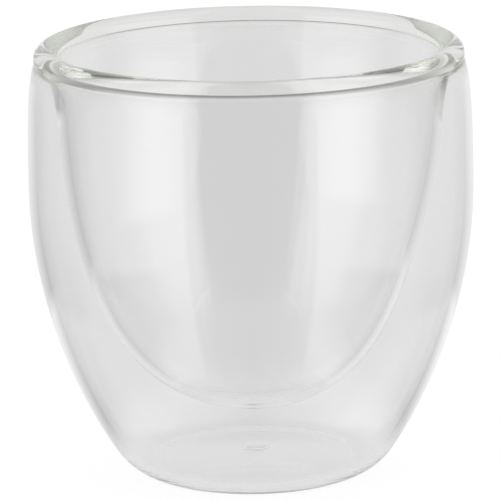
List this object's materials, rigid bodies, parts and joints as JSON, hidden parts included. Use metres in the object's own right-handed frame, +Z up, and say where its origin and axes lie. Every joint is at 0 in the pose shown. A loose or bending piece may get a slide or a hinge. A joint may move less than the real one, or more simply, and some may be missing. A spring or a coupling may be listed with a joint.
{
  "type": "double walled glass cup",
  "caption": "Handleless clear glass cup whose round-bottomed bowl hangs in a bellied outer shell, fused at the rim with sealed air between them.",
  "frame": {"origin": "centre of the standing ring, at table height", "axes": "+Z up along the cup's axis; the cup is round, so X and Y are free, and -Y faces the viewer of the picture"},
  "size_m": [0.065, 0.065, 0.0636],
  "materials": {
    "wall_glass": "clear, fire polished",
    "rim_glass": "clear with a trace of green, fire polished"
  },
  "bodies": {
    "root": {"outer_wall": "wall_glass", "inner_wall": "wall_glass", "rim_bead": "rim_glass", "vent_seal": "wall_glass"}
  },
  "joints": []
}
